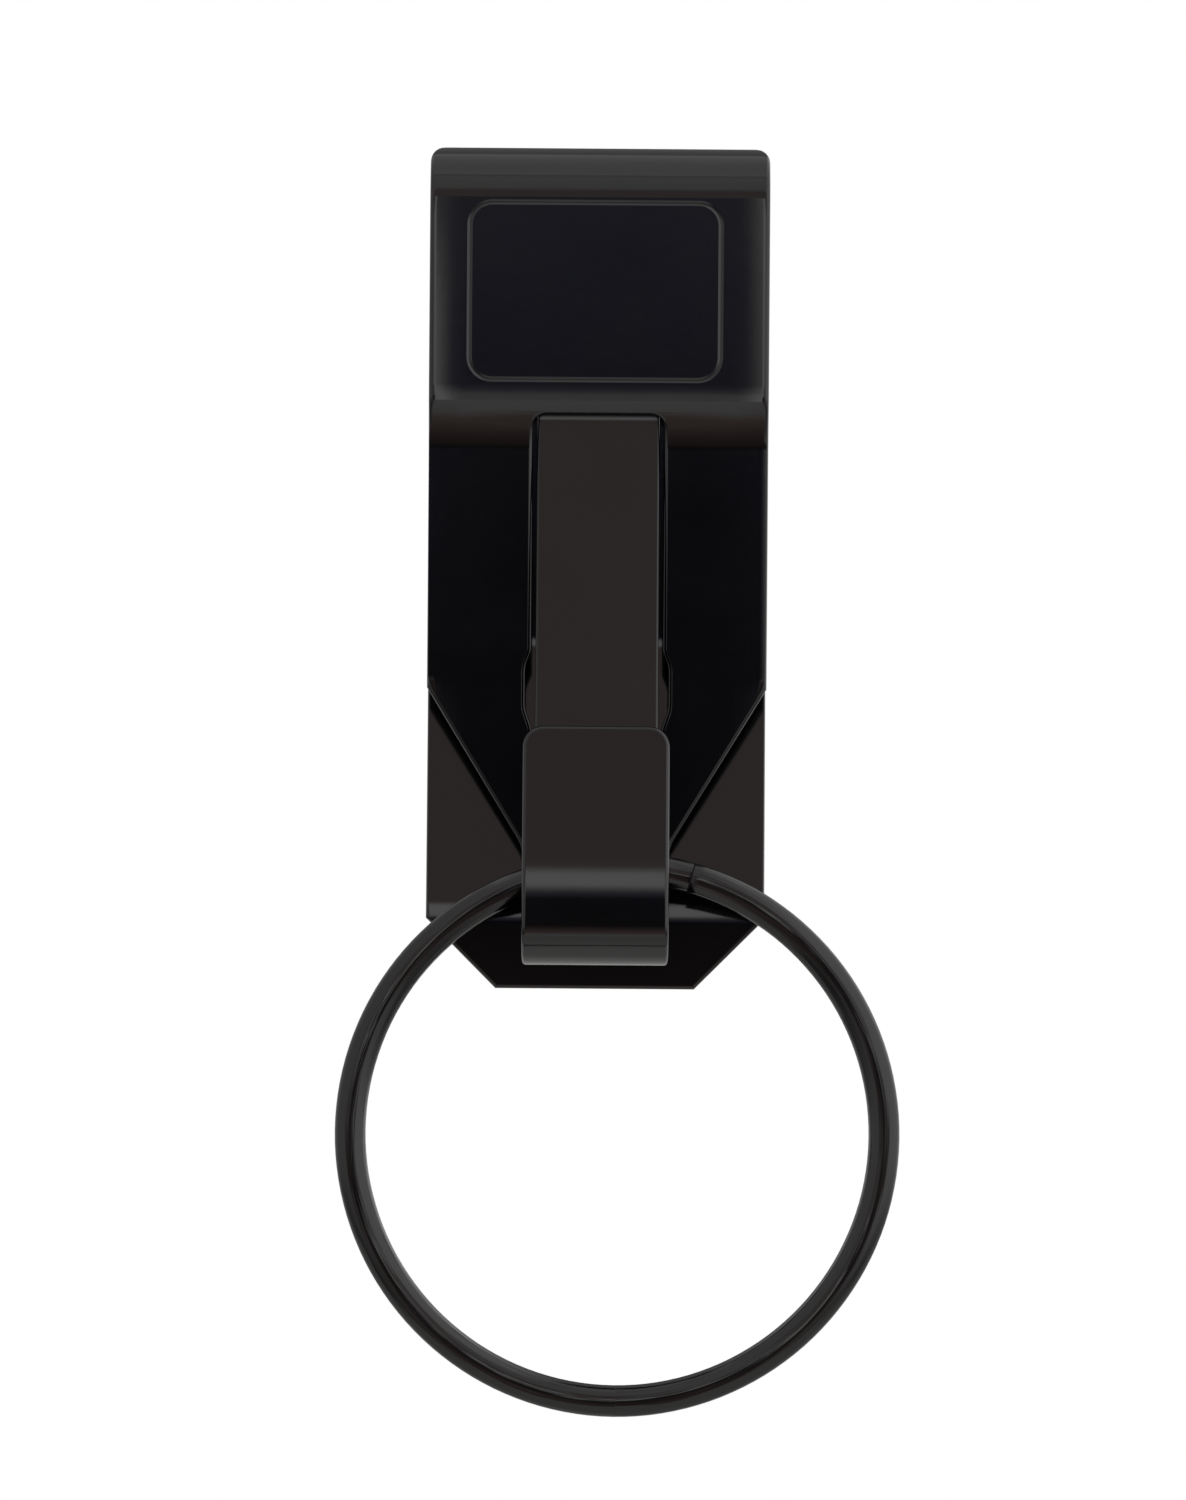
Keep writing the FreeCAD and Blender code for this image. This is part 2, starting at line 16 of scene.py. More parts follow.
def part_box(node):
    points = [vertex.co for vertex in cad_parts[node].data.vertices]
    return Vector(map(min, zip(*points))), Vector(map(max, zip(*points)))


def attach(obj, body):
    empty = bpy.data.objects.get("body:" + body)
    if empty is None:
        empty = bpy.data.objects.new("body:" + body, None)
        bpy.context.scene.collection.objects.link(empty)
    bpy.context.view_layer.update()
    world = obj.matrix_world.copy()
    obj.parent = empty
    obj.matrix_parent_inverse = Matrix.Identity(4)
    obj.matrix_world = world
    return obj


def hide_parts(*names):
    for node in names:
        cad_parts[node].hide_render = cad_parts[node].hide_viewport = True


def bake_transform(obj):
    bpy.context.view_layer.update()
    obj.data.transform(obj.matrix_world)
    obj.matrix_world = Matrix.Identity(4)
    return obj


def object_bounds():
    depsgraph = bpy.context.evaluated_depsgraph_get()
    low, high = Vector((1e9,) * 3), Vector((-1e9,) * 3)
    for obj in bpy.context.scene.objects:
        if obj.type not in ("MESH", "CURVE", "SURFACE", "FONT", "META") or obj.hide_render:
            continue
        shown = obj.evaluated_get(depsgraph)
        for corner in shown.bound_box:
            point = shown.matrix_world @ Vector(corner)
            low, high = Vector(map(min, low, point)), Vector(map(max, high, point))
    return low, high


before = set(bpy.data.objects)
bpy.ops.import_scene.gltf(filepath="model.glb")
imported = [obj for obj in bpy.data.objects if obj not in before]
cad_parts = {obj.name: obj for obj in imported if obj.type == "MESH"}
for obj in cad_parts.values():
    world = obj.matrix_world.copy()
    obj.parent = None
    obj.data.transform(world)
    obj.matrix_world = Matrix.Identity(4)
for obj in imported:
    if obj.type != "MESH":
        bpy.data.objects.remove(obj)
cad_low, cad_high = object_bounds()
MM = 0.001
print("size of the frame in mm:", [round(side / MM, 2) for side in cad_high - cad_low])

# %% [markdown]
# ## How sheet metal is made here
#
# A bent strip could be pushed into shape point by point, or swept along a curve. Here it is made as the
# maker of the real one does it: cut a flat blank, then fold it. A bend of the sheet becomes a row of small
# folds, so the first helper lists where these fold lines lie on the flat blank.
# A fold line sits in the middle of each small piece of the arc, and the pieces are as long as the sides
# of a polygon drawn round that arc. After folding, the straight parts then lie exactly where they should.

# %% Plan the fold lines
SMALL_FOLD, FEWEST = 6.0, 5  # degrees, and lines of a gentle bend, fine enough for smooth reflections
SPLIT = (0, 2.85, -2.85)  # where the front of the strip and its back leaf meet, in mm


def plan_folds(height, heading, moves):
    """Fold lines (place along the blank in mm, angle) and the place and height at the end of each move.

    A move is (height,) for going straight on, or (radius, angle) for a bend of the middle of the sheet.
    A bend with radius 0 is a crease: a single fold line.
    Heading 0 goes up and 180 down, and a positive angle turns from up towards the front.
    """
    place, lines, ends = 0.0, [], []
    for move in moves:
        if len(move) == 1:
            place += (move[0] - height) / math.cos(math.radians(heading))
            height = move[0]
        else:
            radius, angle = move
            count = max(FEWEST, math.ceil(abs(angle) / SMALL_FOLD)) if radius else 1
            small = math.radians(angle) / count
            side = 2 * radius * math.tan(abs(small) / 2)
            lines += [(place + side * (each + 0.5), small) for each in range(count)]
            place += side * count
            before, heading = heading, heading + angle
            rise = math.sin(math.radians(heading)) - math.sin(math.radians(before))
            height += math.copysign(radius, angle) * rise
        ends.append((place, height))
    return lines, ends


strip_folds, strip_ends = plan_folds(
    SPLIT[2],
    0,
    [
        (3.301, 172),  # the fold over the belt
        (-2.6,),  # runs out straight
        (0, 8),  # and ends in a slight crease
        (-15.2,),  # top panel
        (30.0, -1.6),  # which bulges by a hair
        (-16.25,),  # where the step begins
        (0, 26.6),  # that goes back in a crease
        (-16.562,),  # runs straight
        (8.0, -25),  # and straightens again slowly
        (-50.95,),  # lower panel and neck
        (3.1, -130),  # the hook's round bottom
        (-52.845,),  # goes over into a slope
        (1.5, -50),  # and a tighter bend before
        (-50.363,),  # its upright front wall
        (20.0, -11),  # which then leans in slowly
        (-38.386,),  # up to the tip
    ],
)
FOLD_CREASE, BULGE, STEP_CREASE, SLOW_BEND = 2, 4, 6, 8  # which moves these are in the list
tip_place = strip_ends[-1][0]
print("fold lines of the strip:", len(strip_folds), "- flat length in mm:", round(tip_place, 2))

# %% [markdown]
# ## The blank
#
# The front of the clip is the same left and right, so only its right half is drawn and mirrored later.
# That also solves the window: in half a blank it is a notch in the outline, and no hole has to be filled.
# The outline needs just its corners. A vertex bevel then rounds the corners that are round on the clip.
# The bevel's amount runs along the edges, so it comes from the radius and the angle of the corner.

# %% Cut the strip's blank
def cut_blank(corners, heading):
    """A flat face from corners (x, place) or (x, place, radius) in mm, going up (1) or down (-1)."""
    bm = bmesh.new()
    verts = [bm.verts.new((corner[0] * MM, 0, corner[1] * MM * heading)) for corner in corners]
    bm.faces.new(verts)
    for vert, corner in zip(verts, corners):
        if len(corner) == 3:
            first, second = [edge.other_vert(vert).co - vert.co for edge in vert.link_edges]
            bmesh.ops.bevel(
                bm,
                geom=[vert],
                offset=corner[2] * MM / math.tan(first.angle(second) / 2),
                offset_type="ABSOLUTE",
                segments=10,
                profile=0.5,
                affect="VERTICES",
                material=-1,
            )
    return bm


SIDE, NECK = 11.5, 4.95  # half the width of the strip and of its neck, in mm
TAPER_TOP, TAPER_END = -35.8, -46.6  # heights in mm
WINDOW, WINDOW_WIDE, WINDOW_LOW = 4.45, 4.85, 4.35  # half widths: above, at the gate's end and below it
WIDENS, NARROWS, WINDOW_BOTTOM = (-33.3, -34.3), (-37.2, -38.6), -41.4  # heights in mm
WINDOW_BELOW_BULGE = 1.19
bulge_place = strip_ends[BULGE][0]
panel_place, panel_height = strip_ends[SLOW_BEND]
window_top = bulge_place + WINDOW_BELOW_BULGE


def on_panel(height):
    """Place on the blank for a height of the lower panel."""
    return panel_place + panel_height - height


strip = cut_blank(
    [
        (0, 0),
        (SIDE, 0),
        (SIDE, on_panel(TAPER_TOP)),
        (NECK, on_panel(TAPER_END), 2.5),
        (NECK, tip_place, 1.4),
        (0, tip_place),
        # the window, from its bottom up
        (0, on_panel(WINDOW_BOTTOM)),
        (WINDOW_LOW, on_panel(WINDOW_BOTTOM), 1.6),
        (WINDOW_LOW, on_panel(NARROWS[1]), 2.1),
        (WINDOW_WIDE, on_panel(NARROWS[0]), 2.1),
        (WINDOW_WIDE, on_panel(WIDENS[1]), 2.0),
        (WINDOW, on_panel(WIDENS[0]), 0.8),
        (WINDOW, window_top, 0.95),
        (0, window_top),
    ],
    1,
)
half_area = sum(face.calc_area() for face in strip.faces) / MM**2
print("half blank:", len(strip.verts), "corners, area in mm2:", round(half_area, 1))

# %% [markdown]
# ## Folding
#
# Each fold line is first cut into the sheet with a bisecting plane. Then the folds are made one after the
# other from the start: everything beyond a line turns about it, as in a press brake.
# Every vertex keeps its place along the blank in a layer of its own, because after a few folds
# its height no longer says which side of a line it is on.

# %% Fold the strip
SAME_PLACE = 1e-3  # places along the blank that are closer than this, in mm, are the same


def score(bm, spot, normal):
    """Cuts a line into the flat sheet."""
    geometry = bm.verts[:] + bm.edges[:] + bm.faces[:]
    bmesh.ops.bisect_plane(bm, geom=geometry, dist=1e-7, plane_co=spot, plane_no=normal)


def score_across(bm, place, heading):
    """Cuts a line across the blank at a place along it, in mm."""
    score(bm, (0, 0, place * MM * heading), (0, 0, 1))


def fold_blank(bm, lines, start, heading):
    """Folds the blank, whose beginning comes to lie at start, in mm."""
    for place, angle in lines:
        score_across(bm, place, heading)
    along = bm.verts.layers.float.new("along")
    for vert in bm.verts:
        vert[along] = vert.co.z * heading / MM
    bmesh.ops.translate(bm, verts=bm.verts[:], vec=Vector(start) * MM)
    spot, way, done = Vector(start) * MM, Vector((0, 0, heading)), 0.0
    for place, angle in lines:
        spot = spot + way * (place - done) * MM
        done = place
        turn = Matrix.Rotation(angle, 3, "X")
        beyond = [vert for vert in bm.verts if vert[along] > place + SAME_PLACE]
        bmesh.ops.rotate(bm, verts=beyond, cent=spot, matrix=turn)
        way = turn @ way
    return along


MARGIN = 9.2  # from here out to the side, in mm, the top panel is not quite flat
MARGIN_LINES = (MARGIN, 9.9, 10.5, 11.0)
GROWTH = 7  # mm below the fold over which the left margin grows
GROWTH_LINES = (1.5, 3.5, GROWTH)
TAPER_LINE = 0.8  # mm above the taper, where the rims change
fold_length = strip_ends[FOLD_CREASE][0]
for line in MARGIN_LINES:
    score(strip, (line * MM, 0, 0), (1, 0, 0))
for line in GROWTH_LINES:
    score_across(strip, fold_length + line, 1)
score_across(strip, on_panel(TAPER_TOP + TAPER_LINE), 1)
along = fold_blank(strip, strip_folds, SPLIT, 1)
lowest = min(vert.co.z for vert in strip.verts) / MM
print("hook bottom in mm:", round(lowest, 2), "for the middle of the sheet")

# %% [markdown]
# ## Small irregularities of a formed part
#
# A stamped sheet is not perfectly flat. The top panel is a little crowned: its last two millimetres on each
# side turn back by a few degrees, the right side less than the left, which gives the panel its soft light
# margins. On the left this grows over the first seven millimetres below the fold.
# The half is mirrored first, because the two sides are no longer the same after this.
# The lines scored above give these changes the vertices they need.
# And where the sheet is stretched over the fold, it gets narrower, so that its upper corners look rounded
# from the front. The narrowing at each height is that of a quarter circle.

# %% Crown the panel and narrow the fold
CROWN_LEFT, CROWN_RIGHT = 0.07, 0.055  # how far the sides turn back, in mm
CROWN_START = 0.6  # share of the fold's length after which the crown begins
TOP_ROUND = 0.7


def between(value, start, end):
    """Goes evenly from 0 at start to 1 at end."""
    return min(1, max(0, (value - start) / (end - start)))


top = max(vert.co.z for vert in strip.verts)
half_strip = strip.verts[:] + strip.edges[:] + strip.faces[:]
bmesh.ops.mirror(strip, geom=half_strip, axis="X", merge_dist=1e-6)
for vert in strip.verts:
    place = vert[along]
    aside = between(abs(vert.co.x) / MM, MARGIN, SIDE)
    on_top = between(place, fold_length * CROWN_START, fold_length)
    before_step = between(place, panel_place, bulge_place)
    growing = 0.5 + 0.5 * between(place, fold_length, fold_length + GROWTH)
    depth = CROWN_RIGHT if vert.co.x > 0 else CROWN_LEFT * growing
    vert.co.y += depth * MM * aside**2 * on_top * before_step
    short_of_round = max(0, TOP_ROUND - (top - vert.co.z) / MM)
    narrowing = TOP_ROUND - math.sqrt(TOP_ROUND**2 - short_of_round**2)
    vert.co.x -= math.copysign(narrowing * MM * aside, vert.co.x)
print("crown in mm:", CROWN_LEFT, "left,", CROWN_RIGHT, "right")
print("corners at the fold rounded by, in mm:", TOP_ROUND)

# %% [markdown]
# ## From a face to a sheet
#
# The normals are made to agree before the sheet gets its thickness.
# The folded face is the middle of the sheet, so it is first moved out by half the thickness, with each
# vertex's shell factor so that bends keep their thickness too, and then Solidify adds the wall.
# The sheared edges of the real strip are tumbled round, and they carry most of its bright lines.
# A bevel with four segments does that. Clamping is off: it would shrink the bevel to suit the shortest
# edges, those between the fold lines, and the rims would be left sharp. The edges where the strip goes
# over into the back leaf stay sharp, because there the steel simply continues.

# %% Thicken the strip
SHEET = 0.9


def thicken(bm, thickness):
    """Makes a closed sheet of the given thickness, in mm, with the face in its middle."""
    bmesh.ops.recalc_face_normals(bm, faces=bm.faces[:])
    bm.normal_update()
    moves = [vert.normal * vert.calc_shell_factor() * thickness * MM / 2 for vert in bm.verts]
    for vert, move in zip(bm.verts, moves):
        vert.co += move
    bmesh.ops.solidify(bm, geom=bm.faces[:], thickness=thickness * MM)
    bmesh.ops.recalc_face_normals(bm, faces=bm.faces[:])


thicken(strip, SHEET)
print("faces of the thickened strip:", len(strip.faces))

# %% Round the strip's rims
RIM = 0.27  # rounding of the sheared edges, in mm
RIM_ANGLE = 55  # degrees between two faces from which an edge counts as sheared


def round_edges(bm, edges, radius, segments, **more):
    """Rounds edges by a radius in mm."""
    bmesh.ops.bevel(
        bm,
        geom=edges,
        offset=radius * MM,
        offset_type="OFFSET",
        segments=segments,
        profile=0.5,
        affect="EDGES",
        material=-1,
        **more,
    )


def round_rims(bm, radius, along=None):
    """Rounds the sheared edges of a sheet. With along given, those at the blank's beginning stay sharp."""
    rims = [edge for edge in bm.edges if edge.calc_face_angle(0) > math.radians(RIM_ANGLE)]
    if along is not None:
        rims = [edge for edge in rims if any(vert[along] > SAME_PLACE for vert in edge.verts)]
    round_edges(bm, rims, radius, 4, clamp_overlap=False, loop_slide=False)
    return len(rims)


print("edges rounded on the strip:", round_rims(strip, RIM, along))

# %% [markdown]
# The long sides are sheared more cleanly than the rest, so their rims are drawn out to a tighter rounding.
# Two kinds of edges are marked sharp for the shading. At the creases, soft shading would sweep the mirrored
# room past in one thin line across the panel. And on the left of the lower panel it would carry light from
# the rim into the dark face, where the real edge is crisp. The right side has such a soft line and keeps it.

# %% Tighten the side rims and mark the sharp edges
TIGHTER, TIGHTEST = 0.6, 0.9  # parts of the rim's width
TIGHT_FROM, TIGHT_FULL = -16, -19  # heights in mm over which the tighter rims begin
CRISP_TOP, CRISP_BOTTOM = -17.5, -36  # heights in mm, from the step down to the taper
NEAR_RIM = 0.02  # mm
creases = [fold_length, strip_ends[STEP_CREASE][0]]


def tighten_side_rims(bm, bottom, left_part, right_part):
    """Draws out the rims at the long sides by a part of their width, down to a height in mm."""
    for vert in bm.verts:
        room = SIDE - abs(vert.co.x) / MM
        if room < RIM * 1.01:  # the whole rim, with a hair to spare
            height = vert.co.z / MM
            share = between(height, TIGHT_FROM, TIGHT_FULL) * between(height, bottom, bottom + 1)
            part = right_part if vert.co.x > 0 else left_part
            vert.co.x += math.copysign(room * part * share * MM, vert.co.x)


def crisp(vert):
    """Whether a vertex lies where the rim begins on the left of the lower panel."""
    at_rim = abs(vert.co.x / MM + SIDE - RIM) < NEAR_RIM
    return at_rim and CRISP_BOTTOM < vert.co.z / MM < CRISP_TOP


def creased(edge):
    """Whether an edge lies on a crease."""
    return any(all(abs(vert[along] - place) < SAME_PLACE for vert in edge.verts) for place in creases)


for edge in strip.edges:
    if creased(edge) or all(map(crisp, edge.verts)):
        edge.smooth = False
tighten_side_rims(strip, TAPER_TOP, TIGHTEST, TIGHTER)
print("edges marked sharp on the strip:", sum(not edge.smooth for edge in strip.edges))

# %% [markdown]
# ## The stamped frame on the top panel
#
# A rounded rectangle is pressed into the top panel. It could be drawn by a bump in the material, but a real
# groove catches the light at its walls and stays when the model leaves this scene.
# Three insets of a rounded rectangle make it: one goes down, one runs along the floor, one comes up again.
# Then the panel's front face is removed, and the ring between its border and the frame is filled.
# The groove's upper borders are marked sharp. Without that, smooth shading would carry the slope of its
# walls on into the flat panel.

# %% Draw the frame
GROOVE_WALL, GROOVE_FLOOR, GROOVE_DEPTH = 0.13, 0.1, 0.1
FRAME_SIDE, FRAME_TOP, FRAME_BOTTOM, FRAME_ROUND = 8.68, -2.75, -15.1, 1.7
FRAME_MIDDLE, FRAME_ROOM = -0.3, 0.05
FACES_FRONT = -0.9999  # a face whose normal has less y than this looks straight to the front
SLANTS = -0.9  # and one with more y than this is a wall of the groove


def panel_front(face):
    """Whether a face is a part of the flat panel round the frame."""
    centre = face.calc_center_median() / MM
    inside = FRAME_BOTTOM - FRAME_ROOM < centre.z < FRAME_TOP + FRAME_ROOM and abs(centre.x) < MARGIN
    return inside and face.normal.y < FACES_FRONT


panel_faces = [face for face in strip.faces if panel_front(face)]
front = bmesh.ops.dissolve_faces(strip, faces=panel_faces)["region"][0]
level = front.calc_center_median().y
left, right = FRAME_MIDDLE - FRAME_SIDE, FRAME_MIDDLE + FRAME_SIDE
corners = [(left, FRAME_TOP), (left, FRAME_BOTTOM), (right, FRAME_BOTTOM), (right, FRAME_TOP)]
stamp_verts = [strip.verts.new((x * MM, level, z * MM)) for x, z in corners]
stamp = strip.faces.new(stamp_verts)
stamp.normal_update()
if stamp.normal.y > 0:
    stamp.normal_flip()
stamped = bmesh.ops.bevel(
    strip,
    geom=stamp_verts,
    offset=FRAME_ROUND * MM,
    offset_type="ABSOLUTE",
    segments=8,
    profile=0.5,
    affect="VERTICES",
    material=-1,
)
stamp = stamped["verts"][0].link_faces[0]
print("faces joined into the panel:", len(panel_faces), "- corners of the frame:", len(stamp.verts))

# %% Press the frame into the panel
def panel_edge(edge):
    """Whether an edge lies in the plane of the panel's front."""
    return all(abs(vert.co.y - level) < 1e-6 for vert in edge.verts)


for width, depth in ((GROOVE_WALL, -GROOVE_DEPTH), (GROOVE_FLOOR, 0), (GROOVE_WALL, GROOVE_DEPTH)):
    bmesh.ops.inset_region(
        strip,
        faces=[stamp],
        thickness=width * MM,
        depth=depth * MM,
        use_even_offset=True,
        use_boundary=True,
    )
bmesh.ops.delete(strip, geom=[front], context="FACES_ONLY")
border = [edge for edge in strip.edges if edge.is_boundary and panel_edge(edge)]
bmesh.ops.triangle_fill(strip, edges=border, use_beauty=True, normal=(0, -1, 0))
strip.normal_update()
flat_edges = [
    edge
    for face in strip.faces
    if face.normal.y < FACES_FRONT and all(map(panel_edge, face.edges))
    for edge in face.edges
]
groove_rims = [edge for edge in flat_edges if any(face.normal.y > SLANTS for face in edge.link_faces)]
for edge in groove_rims:
    edge.smooth = False
print("sharp edges of the groove:", len(groove_rims))

# %% [markdown]
# ## The lacquer
#
# The steel is coated black in an electro-coating bath: a thin, hard, glossy film that is baked on.
# To the eye it is a dark dielectric. Nearly all its light is the mirror image of the room, about four
# percent of it face on. So the base colour is close to black and the index of refraction is that of a resin.
# The film is not a perfect mirror: it has a faint orange peel about a millimetre wide, and the sheet under
# it a slow waviness of about a centimetre. Both are a bump, in heights of thousandths of a millimetre.

# %% Helpers for colours and nodes
def linear(code):
    """An sRGB hex colour as the linear RGBA that shaders take."""
    parts = [int(code[i:i + 2], 16) / 255 for i in (1, 3, 5)]
    return [c / 12.92 if c <= 0.04045 else ((c + 0.055) / 1.055) ** 2.4 for c in parts] + [1]


def add(tree, kind, settings=None, **inputs):
    """Adds a node. Settings are its own properties; an input is a value or the output of another node."""
    node = tree.nodes.new(kind)
    for name, value in (settings or {}).items():
        setattr(node, name, value)
    for name, value in inputs.items():
        numbered = name[1:].isdigit()
        socket = node.inputs[int(name[1:])] if numbered else node.inputs[name.replace("_", " ")]
        if isinstance(value, bpy.types.NodeSocket):
            tree.links.new(value, socket)
        else:
            socket.default_value = value
    return node


def calculate(tree, operation, *values):
    """Adds a Math node and gives its result."""
    inputs = {f"_{place}": value for place, value in enumerate(values)}
    return add(tree, "ShaderNodeMath", {"operation": operation}, **inputs).outputs[0]


def noise(tree, where, size_mm, detail):
    """Noise with patches of about a real size, in mm."""
    return add(
        tree,
        "ShaderNodeTexNoise",
        Vector=where,
        Scale=1 / (size_mm * MM),
        Detail=detail,
    ).outputs["Fac"]


def bump(tree, pattern, height, **under):
    """A bump with a height in micrometres, on top of another one where that is given as Normal."""
    return add(
        tree,
        "ShaderNodeBump",
        Height=pattern,
        Strength=1.0,
        Distance=height * 1e-6,
        **under,
    ).outputs["Normal"]


print("a middle grey, #808080, in linear light:", round(linear("#808080")[0], 3))

# %% Mix the black coat
INDEX = 1.5  # of refraction, for the baked resin
WAVE_MM, PATCH_MM = 13, 6
GLOSS_SPREAD = 0.1  # share by which the roughness goes up and down


def black_coat(name, base, light, roughness, peel_mm, peel_height, wave_height, marks=None):
    """Baked black electro-coat on steel. Heights of peel and wave are in micrometres.

    Marks is a function of the node tree, the place and the surface, and gives a surface with its marks.
    """
    material = bpy.data.materials.new(name)
    material.use_nodes = True
    tree = material.node_tree
    tree.nodes.clear()
    where = add(tree, "ShaderNodeTexCoord").outputs["Object"]
    slow = bump(tree, noise(tree, where, WAVE_MM, 0.0), wave_height)
    surface = bump(tree, noise(tree, where, peel_mm, 2.0), peel_height, Normal=slow)
    if marks:
        surface = marks(tree, where, surface)
    # the film varies slightly in depth of colour and in gloss, in patches of some millimetres
    patch = noise(tree, where, PATCH_MM, 3.0)
    colour = add(
        tree,
        "ShaderNodeMix",
        {"data_type": "RGBA"},
        _0=patch,
        _6=linear(base),
        _7=linear(light),
    )
    gloss = add(
        tree,
        "ShaderNodeMapRange",
        Value=patch,
        From_Min=0.3,
        From_Max=0.7,
        To_Min=roughness * (1 - GLOSS_SPREAD),
        To_Max=roughness * (1 + GLOSS_SPREAD),
    )
    shader = add(
        tree,
        "ShaderNodeBsdfPrincipled",
        Base_Color=colour.outputs[2],
        Metallic=0.0,
        Roughness=gloss.outputs["Result"],
        IOR=INDEX,
        Normal=surface,
    )
    add(tree, "ShaderNodeOutputMaterial", Surface=shader.outputs["BSDF"])
    return material


# full gloss: the eye sees black panels with clear, sharp reflections
strip_coat = black_coat(
    "black_electro_coat",
    "#030303",
    "#050505",
    roughness=0.07,
    peel_mm=1.1,
    peel_height=1.2,
    wave_height=14,
)
# a little duller and browner: the eye sees an even, dark grey-brown face
gate_coat = black_coat(
    "black_electro_coat_gate",
    "#050404",
    "#070606",
    roughness=0.14,
    peel_mm=1.1,
    peel_height=1.5,
    wave_height=10,
)
print("materials of strip and gate:", strip_coat.name, gate_coat.name)

# %% [markdown]
# The wire of the ring carries one more pattern, the marks of the drawing die. They are fine across the wire
# and drawn out along it, so their noise is laid on coordinates that run round the ring:
# the distance from its middle, the depth, and the angle, which counts for little.

# %% Mix the coat of the wire
RING_CENTRE = Vector((1.6, 0, -65.9)) * MM
MARK_MM, MARK_HEIGHT = 0.45, 60  # mm wide, micrometres high
MARK_STRETCH = 0.8  # mm for one radian round the ring


def die_marks(tree, where, surface):
    """Lays marks on a surface that are drawn out round the ring."""
    away = add(tree, "ShaderNodeVectorMath", {"operation": "SUBTRACT"}, _0=where, _1=RING_CENTRE)
    part = add(tree, "ShaderNodeSeparateXYZ", Vector=away.outputs["Vector"])
    flat = add(
        tree,
        "ShaderNodeVectorMath",
        {"operation": "MULTIPLY"},
        _0=away.outputs["Vector"],
        _1=(1, 0, 1),
    )
    reach = add(tree, "ShaderNodeVectorMath", {"operation": "LENGTH"}, _0=flat.outputs["Vector"])
    turn = calculate(tree, "ARCTAN2", part.outputs["X"], part.outputs["Z"])
    spot = add(
        tree,
        "ShaderNodeCombineXYZ",
        X=reach.outputs["Value"],
        Y=part.outputs["Y"],
        Z=calculate(tree, "MULTIPLY", turn, MARK_STRETCH * MM),
    )
    return bump(tree, noise(tree, spot.outputs["Vector"], MARK_MM, 2.0), MARK_HEIGHT, Normal=surface)


# drawn wire: the eye sees light lines along the ring that are broken up a little
ring_coat = black_coat(
    "black_coated_wire",
    "#040404",
    "#060606",
    roughness=0.12,
    peel_mm=0.9,
    peel_height=1.5,
    wave_height=5,
    marks=die_marks,
)
print("material of the ring:", ring_coat.name)

# %% [markdown]
# ## From mesh to piece
#
# Every piece ends the same way: the mesh becomes an object at the origin, gets smooth shading and its
# material, and stands for a node of the frame, which is hidden.
# A Weighted Normal modifier lets the big flat faces set the shading and keeps most of it out of the narrow
# roundings, so panels are nearly plane mirrors up to their rims.

# %% Finish a piece
AREA_WEIGHT = 90  # 50 counts all faces alike, more than that favours the large ones


def finish_piece(bm, name, material, node):
    """Makes an object of the mesh, in place of a node of the frame."""
    for face in bm.faces:
        face.smooth = True
    faults = sum(not edge.is_manifold for edge in bm.edges)
    volume = bm.calc_volume() / MM**3
    mesh = bpy.data.meshes.new(name)
    bm.to_mesh(mesh)
    bm.free()
    mesh.materials.append(material)
    piece = bpy.data.objects.new(name, mesh)
    bpy.context.scene.collection.objects.link(piece)
    even = piece.modifiers.new("even_shading", "WEIGHTED_NORMAL")
    even.weight = AREA_WEIGHT
    even.keep_sharp = True
    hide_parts(node)
    low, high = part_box(node)
    spots = [vert.co for vert in mesh.vertices]
    reach = [round((max(s[i] for s in spots) - min(s[i] for s in spots)) / MM, 2) for i in range(3)]
    print(name, "faces:", len(mesh.polygons), "size in mm:", reach)
    print("  size of its node in mm:", [round(side / MM, 2) for side in high - low])
    print("  edges that are not closed:", faults, "- volume in mm3:", round(volume, 1))
    return piece


formed_strip = finish_piece(strip, "formed_strip", strip_coat, "front_clip")
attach(formed_strip, "clip")

# %% [markdown]
# ## The back leaf
#
# The back leaf is the other end of the same strip. It is a piece of its own only because it springs:
# when a belt pushes it, it bends along its upper half. It is cut and folded like the front, with extra
# lines across so that it can bend smoothly.

# %% Cut and fold the back leaf
LIP_CUT = 4.75  # both ways of the cut corners at the lip, in mm
LEAF_LINES = range(2, 29, 2)  # mm from its beginning
LEAF_TIGHT_BOTTOM = -51
leaf_folds, leaf_ends = plan_folds(
    SPLIT[2],
    180,
    [
        (-32.1,),  # straight down behind the belt
        (8.0, -8.5),  # leaning in
        (-50.0,),
        (14.0, 9.5),  # and out again a little
        (-56.2,),  # to the end of the lip
    ],
)
leaf_end = leaf_ends[-1][0]
leaf = cut_blank(
    [
        (-SIDE, 0),
        (SIDE, 0),
        (SIDE, leaf_end - LIP_CUT),
        (SIDE - LIP_CUT, leaf_end),
        (LIP_CUT - SIDE, leaf_end),
        (-SIDE, leaf_end - LIP_CUT),
    ],
    -1,
)
for place in LEAF_LINES:
    score_across(leaf, place, -1)
leaf_along = fold_blank(leaf, leaf_folds, SPLIT, -1)
thicken(leaf, SHEET)
round_rims(leaf, RIM, leaf_along)
tighten_side_rims(leaf, LEAF_TIGHT_BOTTOM, TIGHTER, TIGHTER)
back_leaf = finish_piece(leaf, "spring_back_leaf", strip_coat, "back_leaf")
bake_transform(back_leaf)
